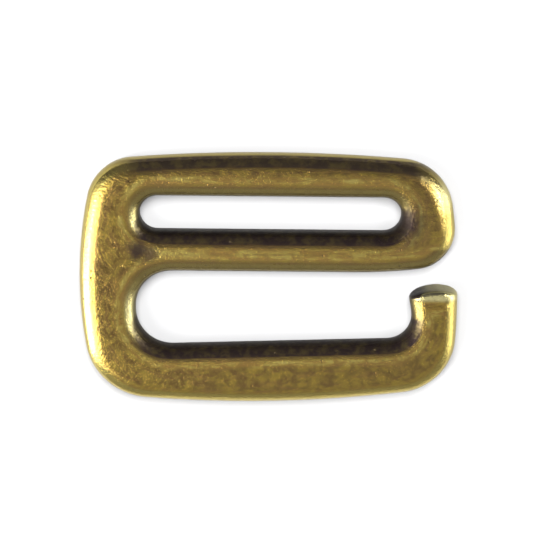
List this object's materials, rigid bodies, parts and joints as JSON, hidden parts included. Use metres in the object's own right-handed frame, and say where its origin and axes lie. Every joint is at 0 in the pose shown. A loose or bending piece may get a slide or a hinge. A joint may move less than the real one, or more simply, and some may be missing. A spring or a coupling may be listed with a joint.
{
  "type": "webbing hook slider",
  "caption": "Flat cast metal slider with a closed slot for a sewn strap and an open hooked slot that takes a strap loop or ring.",
  "frame": {"origin": "middle of the casting's footprint, on its flat back", "axes": "+X along the webbing slots towards the hook's open mouth, +Y across them towards the closed slot, +Z out of the front face"},
  "size_m": [0.0378, 0.0256, 0.003],
  "materials": {
    "antique_brass": "antiqued satin plating, darkened in the recesses and rubbed bright on the edges"
  },
  "bodies": {
    "root": {"hook_slider": "antique_brass"}
  },
  "joints": []
}
